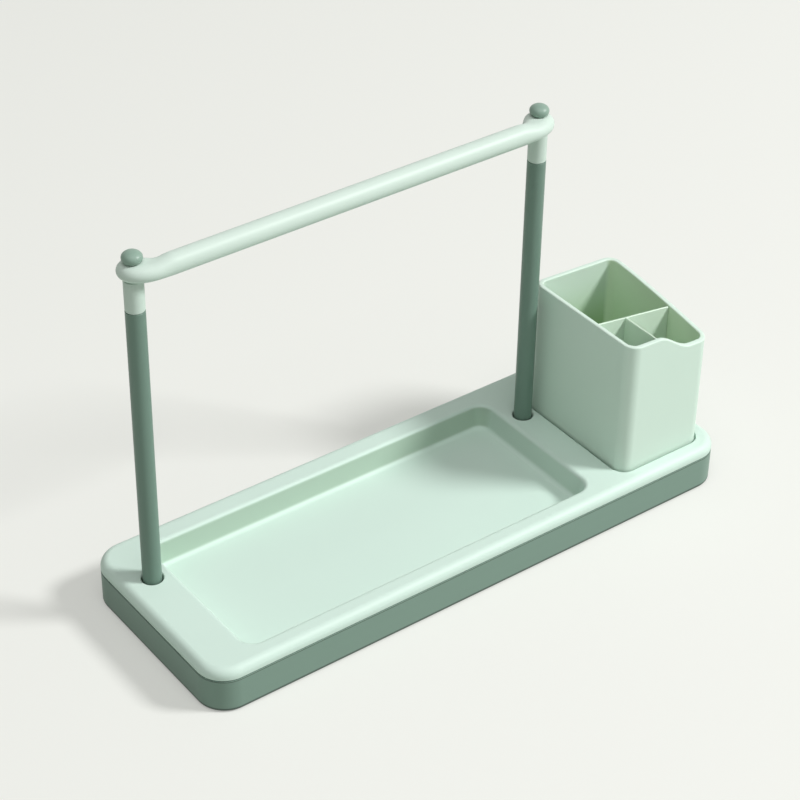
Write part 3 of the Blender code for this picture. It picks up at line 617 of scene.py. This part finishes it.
def cup_drains():
    """Places of the drain holes: the same inset from the walls of each compartment."""
    half = DIVIDER_THICKNESS / 2
    left, right = CUP_LOW.x + CUP_WALL, CUP_HIGH.x - CUP_WALL
    front, back = CUP_LOW.y + CUP_WALL, CUP_HIGH.y - CUP_WALL
    boxes = (
        (left, CROSS_WALL_Y + half, right, back),
        (left, front, STEM_X - half, CROSS_WALL_Y - half),
        (STEM_X + half, front, right, CROSS_WALL_Y - half),
    )
    places = []
    for low_x, low_y, high_x, high_y in boxes:
        xs = (low_x + CUP_DRAIN_INSET, high_x - CUP_DRAIN_INSET)
        if xs[1] - xs[0] < 2 * CUP_DRAIN_INSET:
            xs = ((low_x + high_x) / 2,)
        places += [(x, y) for x in xs for y in (low_y + CUP_DRAIN_INSET, high_y - CUP_DRAIN_INSET)]
    return places


def make_cup(finish, inside_painted_light):
    """Cup whose rim follows rim_height, with drain holes and a finish of its own inside that carries
    painted shade and a painted glow.
    """
    bottom = CUP_LOW.z
    top = bottom + CUP_HEIGHT
    floor_top = bottom + CUP_FLOOR
    cuts = (CUP_FRONT_CUTS, CUP_SIDE_CUTS, 1, 1)
    edge, rim, fillet = shell_profile(
        bottom, top, CUP_WALL, CUP_FLOOR,
        CUP_BOTTOM_RADIUS, CUP_RIM_RADIUS, CUP_FLOOR_FILLET,
    )
    rings = [rounded_rectangle(CUP_BOX, CUP_CORNER_RADIUS, inset, z, cuts) for inset, z in edge]
    for inset, z in rim:
        level = rounded_rectangle(CUP_BOX, CUP_CORNER_RADIUS, inset, z, cuts)
        rings.append([(x, y, height + rim_height(x, y) - top) for x, y, height in level])
    rings += [rounded_rectangle(CUP_BOX, CUP_CORNER_RADIUS, inset, z, cuts) for inset, z in fillet]
    cup = loft("cup_shell", rings)
    steps = []
    for index, centre in enumerate(cup_drains()):
        drain = cylinder(f"cup_drain_{index}", centre, CUP_DRAIN_RADIUS,
                         bottom - CUT_OVERRUN, floor_top + CUT_OVERRUN)
        steps.append(("DIFFERENCE", drain))
    dress(combine(cup, steps), finish, "cup", "utensil_cup")
    cup.data.materials.append(inside_painted_light)
    wall = CUP_WALL - FIT_GAP
    for face in cup.data.polygons:
        x, y, z = face.center
        across = CUP_LOW.x + wall < x < CUP_HIGH.x - wall
        along = CUP_LOW.y + wall < y < CUP_HIGH.y - wall
        face.material_index = int(across and along and z > bottom + CUP_FLOOR / 2)


def divider_top(x):
    """Top edge of the divider: straight between the rim's heights at the ends of the cross wall."""
    start, end = (rim_height(side, CROSS_WALL_Y) for side in (CUP_LOW.x, CUP_HIGH.x))
    share = (x - CUP_LOW.x) / (CUP_HIGH.x - CUP_LOW.x)
    return start + (end - start) * share - DIVIDER_TOP_DROP


def plate(name, start, end, chamfers):
    """Thin wall between two plan points, with a round top edge.

    Chamfers holds 1 for an end whose lower corner is cut off, and 0 for one that stays square.
    """
    bottom = CUP_LOW.z + CUP_FLOOR + FIT_GAP
    length = math.dist(start, end)
    along = [(b - a) / length for a, b in zip(start, end)]
    across = (-along[1], along[0])
    half = DIVIDER_THICKNESS / 2
    stations = (
        (0.0, DIVIDER_CHAMFER * chamfers[0]),
        (DIVIDER_CHAMFER, 0.0),
        (length - DIVIDER_CHAMFER, 0.0),
        (length, DIVIDER_CHAMFER * chamfers[1]),
    )
    rings = []
    for run, rise in stations:
        x = start[0] + along[0] * run
        y = start[1] + along[1] * run
        top = divider_top(x)
        section = [(half, bottom + rise)] + arc((0.0, top - half), half, 0, 180, EDGE_STEPS)
        section.append((-half, bottom + rise))
        rings.append([(x + across[0] * side, y + across[1] * side, z) for side, z in section])
    return loft(name, rings)


def make_divider(finish):
    """Cross wall and stem, joined into one T-shaped insert."""
    reach = CUP_WALL + FIT_GAP
    left, right = CUP_LOW.x + reach, CUP_HIGH.x - reach
    cross = plate("divider_plates", (left, CROSS_WALL_Y), (right, CROSS_WALL_Y), (1, 1))
    stem = plate("stem", (STEM_X, CUP_LOW.y + reach), (STEM_X, CROSS_WALL_Y), (1, 0))
    dress(combine(cross, [("UNION", stem)]), finish, "divider", "cup_divider")


# Rail, collars and knobs

def eye_outline():
    """Half of the rail's core outline at one eye, as (point, offset direction) pairs.

    Points are (outward, back) from the post's axis: a run of the bar, a quarter of an ellipse to
    the outer side of the eye, an arc round its back, a straight run and a hollow arc into the
    bar's line.
    """
    core = EYE_RADIUS - RAIL_RADIUS
    reach = EYE_BLEND + core
    bar_run = EYE_FLATTEN_START - EYE_BLEND
    points = []
    for step in range(EYE_BAR_STEPS):
        start = bar_run * step / EYE_BAR_STEPS - EYE_FLATTEN_START
        points.append(((start, -RAIL_FORWARD), (0.0, -1.0)))
    for step in range(EYE_STEPS + 1):
        turn = math.pi / 2 * step / EYE_STEPS
        normal = (math.sin(turn) / reach, -math.cos(turn) / RAIL_FORWARD)
        size = math.hypot(*normal)
        point = (reach * math.sin(turn) - EYE_BLEND, -RAIL_FORWARD * math.cos(turn))
        points.append((point, (normal[0] / size, normal[1] / size)))
    tip = (-EYE_BLEND, -RAIL_FORWARD)
    last = math.atan2(tip[1], tip[0]) % math.tau - math.acos(core / math.hypot(*tip))
    for step in range(1, EYE_STEPS + 1):
        turn = last * step / EYE_STEPS
        normal = (math.cos(turn), math.sin(turn))
        points.append(((core * normal[0], core * normal[1]), normal))
    touch = points[-1][0]
    bend = last - math.pi / 2
    corner_run = EYE_CORNER_RADIUS * math.tan(bend / 2)
    along = (math.sin(last), -math.cos(last))
    corner_start = (tip[0] + along[0] * corner_run, tip[1] + along[1] * corner_run)
    for step in range(1, EYE_BACK_STEPS):
        share = step / EYE_BACK_STEPS
        points.append((tuple(a + (b - a) * share for a, b in zip(touch, corner_start)), normal))
    centre = [part + EYE_CORNER_RADIUS * way for part, way in zip(corner_start, normal)]
    for step in range(EYE_CORNER_STEPS + 1):
        turn = last - bend * step / EYE_CORNER_STEPS
        way = (math.cos(turn), math.sin(turn))
        points.append((tuple(c - EYE_CORNER_RADIUS * part for c, part in zip(centre, way)), way))
    start, end = points[-1][0][0], -EYE_FLATTEN_START
    for step in range(1, EYE_BAR_STEPS + 1):
        share = step / EYE_BAR_STEPS
        points.append(((start + (end - start) * share, -RAIL_FORWARD), (0.0, 1.0)))
    return points


def rail_height(outward, turn):
    """Height over the rail's axis on the side at this turn: a round bar with flatter eyes."""
    seat = KNOB_RADIUS + FIT_GAP
    eye_share = smooth_step((outward + EYE_FLATTEN_START) / (EYE_FLATTEN_START - seat))
    top = RAIL_RADIUS - EYE_TOP_DROP * eye_share
    bottom = EYE_BOTTOM_RISE * eye_share - RAIL_RADIUS
    return (top + bottom) / 2 + (top - bottom) / 2 * math.sin(turn)


def cross_strips(count):
    """Strips across a ring made of two half outlines of this count, from the middle to the ends."""
    strips = [(0, count - 1, count, 2 * count - 1)]
    for start in (0, count):
        for step in range(count // 2):
            near = (start + step, start + step + 1)
            far = (start + count - 2 - step, start + count - 1 - step)
            strips.append(tuple(dict.fromkeys(near + far)))
    return [strip for strip in strips if len(strip) > 2]


def make_rail(finish):
    """Bar and both eyes as rings round one core outline, with a bore for each knob's stud."""
    half = eye_outline()
    core = [(POST_X["right"], 1, *point, *normal) for point, normal in half]
    core += [(POST_X["left"], -1, *point, *normal) for point, normal in reversed(half)]
    rings = []
    for side in range(RAIL_SIDES // 2):
        turn = -math.pi / 2 + math.tau * (side + 1 / 2) / RAIL_SIDES
        reach = RAIL_RADIUS * math.cos(turn)
        ring = []
        for x, way, out, back, nx, ny in core:
            across = x + way * (out + reach * nx)
            ring.append((across, POST_Y + back + reach * ny, RAIL_Z + rail_height(out, turn)))
        rings.append(ring)
    rail = loft("rail_bar", rings, cross_strips(len(half)))
    steps = []
    for side, x in POST_X.items():
        bore = cylinder(f"{side}_eye_bore", (x, POST_Y), STUD_BORE_RADIUS,
                        RAIL_LOW.z - CUT_OVERRUN, RAIL_HIGH.z + CUT_OVERRUN)
        steps.append(("DIFFERENCE", bore))
    dress(combine(rail, steps), finish, "rail", "hanging_rail")


def make_collars(finish):
    """Sleeves on the posts, each with a spigot down inside its tube and a bore for the stud."""
    spigot_bottom = COLLAR_LOW.z
    bottom = POST_HIGH.z + FIT_GAP
    top = COLLAR_HIGH.z
    bore_bottom = top - COLLAR_BORE_DEPTH
    spigot_radius = POST_BORE_RADIUS - FIT_GAP
    edge_start = POST_RADIUS - COLLAR_EDGE
    low_edge = arc((edge_start, bottom + COLLAR_EDGE), COLLAR_EDGE, 270, 360, EDGE_STEPS)
    high_edge = arc((edge_start, top - COLLAR_EDGE), COLLAR_EDGE, 0, 90, EDGE_STEPS)
    for side, x in POST_X.items():
        collar = turned(f"{side}_sleeve", [
            (0.0, spigot_bottom),
            (spigot_radius - SPIGOT_CHAMFER, spigot_bottom),
            (spigot_radius, spigot_bottom + SPIGOT_CHAMFER),
            (spigot_radius, bottom),
            *low_edge,
            *high_edge,
            (STUD_BORE_RADIUS, top),
            (STUD_BORE_RADIUS, bore_bottom),
            (0.0, bore_bottom),
        ], (x, POST_Y))
        dress(collar, finish, "rail", f"{side}_collar")


def make_knobs(finish):
    """Domes whose lower half draws in towards the eye, with a bore for the stud."""
    bottom, top = KNOB_LOW.z, KNOB_HIGH.z
    bore_top = bottom + KNOB_BORE_DEPTH
    low_edge = []
    for step in range(EDGE_STEPS):
        turn = math.pi / 2 * step / EDGE_STEPS
        inset = KNOB_UNDERCUT * (1 - math.sin(turn))
        low_edge.append((KNOB_RADIUS - inset, bottom + KNOB_SIDE_HEIGHT * (1 - math.cos(turn))))
    dome = []
    for step in range(DOME_STEPS + 1):
        turn = math.pi / 2 * step / DOME_STEPS
        rise = (top - bottom - KNOB_SIDE_HEIGHT) * math.sin(turn)
        dome.append((KNOB_RADIUS * math.cos(turn), bottom + KNOB_SIDE_HEIGHT + rise))
    dome[-1] = (0.0, top)
    for side, x in POST_X.items():
        knob = turned(f"{side}_dome", [
            (0.0, bore_top),
            (STUD_BORE_RADIUS, bore_top),
            (STUD_BORE_RADIUS, bottom),
            *low_edge,
            *dome,
        ], (x, POST_Y))
        dress(knob, finish, "rail", f"{side}_knob")


# Finishes

def measure(tree, place, source):
    """Object coordinate named by source or, for a vector, how far the surface faces along it."""
    if isinstance(source, str):
        split = tree.nodes.new("ShaderNodeSeparateXYZ")
        tree.links.new(place.outputs["Object"], split.inputs["Vector"])
        return split.outputs[source]
    dot = tree.nodes.new("ShaderNodeVectorMath")
    dot.operation = "DOT_PRODUCT"
    dot.inputs[1].default_value = source
    tree.links.new(place.outputs["Normal"], dot.inputs[0])
    return dot.outputs["Value"]


def smooth_range(tree, value, low, high):
    """Node that rises from 0 to 1, eased at both ends, as value goes from low to high."""
    step = tree.nodes.new("ShaderNodeMapRange")
    step.interpolation_type = "SMOOTHSTEP"
    step.inputs["From Min"].default_value = low
    step.inputs["From Max"].default_value = high
    tree.links.new(value, step.inputs["Value"])
    return step


def mix_colours(tree, share, first, second):
    """Colour between two by share. Each is a plain colour or the output of another node."""
    blend = tree.nodes.new("ShaderNodeMix")
    blend.data_type = "RGBA"
    tree.links.new(share, blend.inputs["Factor"])
    for socket, colour in (("A", first), ("B", second)):
        if isinstance(colour, tuple):
            blend.inputs[socket].default_value = (*colour, 1.0)
        else:
            tree.links.new(colour, blend.inputs[socket])
    return blend.outputs["Result"]


def add_tint(tree, place, shown, colour, steps):
    """Blend towards a colour by the product of smooth steps (source, value at 0, value at 1)."""
    share = None
    for source, low, high in steps:
        step = smooth_range(tree, measure(tree, place, source), low, high)
        if share:
            tree.links.new(share, step.inputs["To Max"])
        share = step.outputs["Result"]
    return mix_colours(tree, share, shown, colour)


def noise(tree, place, scale, detail):
    """Soft noise over the object's own coordinates."""
    texture = tree.nodes.new("ShaderNodeTexNoise")
    texture.inputs["Scale"].default_value = scale
    texture.inputs["Detail"].default_value = detail
    tree.links.new(place.outputs["Object"], texture.inputs["Vector"])
    return texture.outputs["Fac"]


def plastic(name, colour, roughness, clouds=CLOUD_SHARE, grain=GRAIN_STRENGTH, metallic=0.0,
            specular=PLASTIC_SPECULAR, tints=()):
    """Moulded surface: faint clouds in its colour and gloss, a fine even grain, and any tints of
    painted shade or light.
    """
    finish = bpy.data.materials.new(name)
    finish.use_nodes = True
    tree = finish.node_tree
    shader = tree.nodes["Principled BSDF"]
    shader.inputs["Metallic"].default_value = metallic
    shader.inputs["Specular IOR Level"].default_value = specular
    place = tree.nodes.new("ShaderNodeTexCoord")
    cloud = noise(tree, place, CLOUD_SCALE, CLOUD_DETAIL)
    darker = tuple(part * (1 - clouds) for part in colour)
    lighter = tuple(min(part * (1 + clouds), 1.0) for part in colour)
    shown = mix_colours(tree, cloud, darker, lighter)
    for tint in tints:
        shown = add_tint(tree, place, shown, *tint)
    tree.links.new(shown, shader.inputs["Base Color"])
    gloss = tree.nodes.new("ShaderNodeMapRange")
    gloss.inputs["To Min"].default_value = roughness - ROUGHNESS_SPREAD
    gloss.inputs["To Max"].default_value = roughness + ROUGHNESS_SPREAD
    tree.links.new(cloud, gloss.inputs["Value"])
    tree.links.new(gloss.outputs["Result"], shader.inputs["Roughness"])
    bump = tree.nodes.new("ShaderNodeBump")
    bump.inputs["Strength"].default_value = grain
    bump.inputs["Distance"].default_value = GRAIN_HEIGHT
    tree.links.new(noise(tree, place, GRAIN_SCALE, GRAIN_DETAIL), bump.inputs["Height"])
    tree.links.new(bump.outputs["Normal"], shader.inputs["Normal"])
    return finish


def make_finishes():
    """One finish for each kind of surface, some carrying painted shade, painted shadow, a painted
    glow and a painted highlight.
    """
    # Painted shade on the basin's forward-facing walls, kept off the tray's outer rounds
    basin_wall_painted_shade = (BASIN_WALL_PAINTED_SHADE, (
        (FORWARD, *BASIN_WALL_SHADE_RANGE),
        (UPWARD, *UPRIGHT_RANGE),
        ("X", TRAY_LOW.x + TRAY_EDGE_RADIUS, TRAY_LOW.x + BASIN_FRONT_LAND),
        ("Y", TRAY_LOW.y + TRAY_EDGE_RADIUS, TRAY_LOW.y + BASIN_FRONT_LAND),
    ))
    # Painted shade inside the cup, deeper down
    cup_deep_painted_shade = (CUP_DEEP_PAINTED_SHADE, (
        ("Z", CUP_HIGH.z - CUP_SHADE_START, CUP_HIGH.z - CUP_SHADE_FULL),
    ))
    # Painted glow on the cup's inner wall that faces left
    cup_right_painted_glow = (CUP_RIGHT_PAINTED_GLOW, (
        (LEFTWARD, *CUP_RIGHT_GLOW_RANGE),
        (UPWARD, *UPRIGHT_RANGE),
    ))
    # Painted shadow along the base's bottom edge
    foot_painted_shadow = (BASE_PAINTED_SHADOW, (
        ("Z", BASE_LOW.z + FOOT_SHADOW_START, BASE_LOW.z + FOOT_SHADOW_FULL),
        (UPWARD, *FOOT_SHADOW_RANGE),
    ))
    # Painted shadow along the base's top, under the tray's seam
    seam_painted_shadow = (BASE_PAINTED_SHADOW, (
        ("Z", BASE_HIGH.z - SEAM_SHADOW_START, BASE_HIGH.z - SEAM_SHADOW_FULL),
        (UPWARD, *SEAM_SHADOW_RANGE),
    ))
    return {
        # The tray's mint, with painted shade on the basin's forward-facing walls
        "mint": plastic("mint_moulding", MINT, MOULDED_ROUGHNESS, tints=(basin_wall_painted_shade,)),
        "cup": plastic("cup_moulding", CUP_MINT, MOULDED_ROUGHNESS),
        # The cup's inside, with painted shade deeper down and a painted glow on the wall facing left
        "cup_inside_painted_light": plastic("cup_inside_painted_light", CUP_INSIDE_MINT, MOULDED_ROUGHNESS,
                              tints=(cup_deep_painted_shade, cup_right_painted_glow)),
        "divider": plastic("divider_moulding", DIVIDER_MINT, SMOOTH_ROUGHNESS),
        "pale": plastic("pale_mint_moulding", PALE_MINT, SMOOTH_ROUGHNESS),
        # Green base, with painted shadow lines at its foot and under the tray's seam
        "green": plastic("green_moulding", GREEN, MOULDED_ROUGHNESS, tints=(foot_painted_shadow, seam_painted_shadow)),
        # Knobs, lighter than the base as a painted highlight
        "knob": plastic("knob_moulding", KNOB_GREEN_AND_HIGHLIGHT, KNOB_ROUGHNESS, specular=KNOB_SPECULAR),
        "painted": plastic("green_paint", TUBE_GREEN, PAINT_ROUGHNESS),
        "rubber": plastic("foot_rubber", RUBBER, RUBBER_ROUGHNESS, clouds=RUBBER_CLOUD_SHARE,
                          grain=RUBBER_GRAIN_STRENGTH),
        "insert": plastic("insert_moulding", INSERT_GREY, INSERT_ROUGHNESS),
        "steel": plastic("bright_zinc", ZINC, ZINC_ROUGHNESS, clouds=ZINC_CLOUD_SHARE,
                         metallic=1.0),
    }


def paint_nodes(finish, names):
    """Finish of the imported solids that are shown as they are."""
    for name in names:
        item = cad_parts[name]
        item.data.materials.clear()
        item.data.materials.append(finish)


# Stage, light and camera

def seen_directly(tree):
    """Output that is 1 on camera, mirror and see-through rays, and 0 on rays that light things."""
    path = tree.nodes.new("ShaderNodeLightPath")
    total = path.outputs["Is Camera Ray"]
    for name in ("Is Glossy Ray", "Is Transmission Ray"):
        step = tree.nodes.new("ShaderNodeMath")
        step.operation = "MAXIMUM"
        tree.links.new(total, step.inputs[0])
        tree.links.new(path.outputs[name], step.inputs[1])
        total = step.outputs[0]
    return total


def make_floor():
    """Pale paper that keeps shadows near the object and fades to the backdrop's tone far away."""
    bm = bmesh.new()
    bmesh.ops.create_grid(bm, x_segments=1, y_segments=1, size=FLOOR_SIZE / 2)
    floor = new_object("floor", bm)
    finish = bpy.data.materials.new("floor_paper")
    finish.use_nodes = True
    tree = finish.node_tree
    shader = tree.nodes["Principled BSDF"]
    shader.inputs["Roughness"].default_value = FLOOR_ROUGHNESS
    shader.inputs["Specular IOR Level"].default_value = FLOOR_SPECULAR
    seen = seen_directly(tree)
    paper = mix_colours(tree, seen, FLOOR_BOUNCE_COLOUR, FLOOR_COLOUR)
    tree.links.new(paper, shader.inputs["Base Color"])
    tone = tree.nodes.new("ShaderNodeEmission")
    tone.inputs["Color"].default_value = (*BACKDROP_COLOUR, 1.0)
    place = tree.nodes.new("ShaderNodeTexCoord")
    reach = tree.nodes.new("ShaderNodeVectorMath")
    reach.operation = "LENGTH"
    tree.links.new(place.outputs["Object"], reach.inputs[0])
    fade = smooth_range(tree, reach.outputs["Value"], FLOOR_GLOW_NEAR, FLOOR_GLOW_FAR)
    fade.inputs["To Min"].default_value = FLOOR_GLOW_SHARE
    share = tree.nodes.new("ShaderNodeMath")
    share.operation = "MULTIPLY"
    tree.links.new(fade.outputs["Result"], share.inputs[0])
    tree.links.new(seen, share.inputs[1])
    mix = tree.nodes.new("ShaderNodeMixShader")
    tree.links.new(share.outputs[0], mix.inputs["Fac"])
    tree.links.new(shader.outputs[0], mix.inputs[1])
    tree.links.new(tone.outputs[0], mix.inputs[2])
    tree.links.new(mix.outputs[0], tree.nodes["Material Output"].inputs["Surface"])
    floor.data.materials.append(finish)


def make_world():
    """Even fill from all sides. The camera and reflections see the pale backdrop."""
    world = bpy.data.worlds.new("studio")
    bpy.context.scene.world = world
    world.use_nodes = True
    nodes = world.node_tree.nodes
    links = world.node_tree.links
    fill = nodes["Background"]
    fill.inputs["Color"].default_value = (*FILL_COLOUR, 1.0)
    fill.inputs["Strength"].default_value = FILL_STRENGTH
    backdrop = nodes.new("ShaderNodeBackground")
    backdrop.inputs["Color"].default_value = (*BACKDROP_COLOUR, 1.0)
    mix = nodes.new("ShaderNodeMixShader")
    links.new(seen_directly(world.node_tree), mix.inputs["Fac"])
    links.new(fill.outputs[0], mix.inputs[1])
    links.new(backdrop.outputs[0], mix.inputs[2])
    links.new(mix.outputs[0], nodes["World Output"].inputs["Surface"])


def direction(turn, height):
    """Unit vector towards a place, from its turn about the upright axis and its height."""
    flat = math.cos(height)
    return Vector((math.cos(turn) * flat, math.sin(turn) * flat, math.sin(height)))


def make_lamp(name, turn, height, distance, size, power):
    """Round soft box, aimed at the object from the way given by its turn and height."""
    light = bpy.data.lights.new(name, "AREA")
    light.shape = "DISK"
    light.size = size
    light.energy = power
    item = bpy.data.objects.new(name, light)
    towards = direction(turn, height)
    item.location = Vector(LAMP_AIM) + towards * distance
    item.rotation_euler = towards.to_track_quat("Z", "Y").to_euler()
    item.visible_camera = False
    bpy.context.scene.collection.objects.link(item)


def make_camera():
    """Camera at the photograph's viewing angle, given by its turn, height, roll and distance."""
    back = direction(CAMERA_TURN, CAMERA_HEIGHT)
    across = Vector(UPWARD).cross(back).normalized()
    level_up = back.cross(across)
    right = math.cos(CAMERA_ROLL) * across + math.sin(CAMERA_ROLL) * level_up
    up = math.cos(CAMERA_ROLL) * level_up - math.sin(CAMERA_ROLL) * across
    place = Vector(CAMERA_TARGET) + back * CAMERA_DISTANCE
    lens = bpy.data.cameras.new("camera")
    lens.sensor_width = CAMERA_SENSOR
    lens.lens = CAMERA_SENSOR * CAMERA_FOCAL_PIXELS / PICTURE_PIXELS
    lens.clip_end = FLOOR_SIZE
    item = bpy.data.objects.new("camera", lens)
    item.matrix_world = Matrix.Translation(place) @ Matrix((right, up, back)).transposed().to_4x4()
    bpy.context.scene.collection.objects.link(item)
    bpy.context.scene.camera = item


finishes = make_finishes()
make_base(finishes["green"])
make_posts(finishes["painted"])
make_screws(finishes["steel"])
make_tray(finishes["mint"])
make_cup(finishes["cup"], finishes["cup_inside_painted_light"])
make_divider(finishes["divider"])
make_rail(finishes["pale"])
make_collars(finishes["pale"])
make_knobs(finishes["knob"])
paint_nodes(finishes["rubber"], FEET)
paint_nodes(finishes["insert"], ("left_post_plug", "right_post_plug"))
paint_nodes(finishes["steel"], ("left_knob_stud", "right_knob_stud"))
make_floor()
make_world()
make_lamp("key", KEY_TURN, KEY_HEIGHT, KEY_DISTANCE, KEY_SIZE, KEY_POWER)
make_lamp("top", TOP_TURN, TOP_HEIGHT, TOP_DISTANCE, TOP_SIZE, TOP_POWER)
make_camera()
bpy.context.scene.view_settings.view_transform = "Standard"
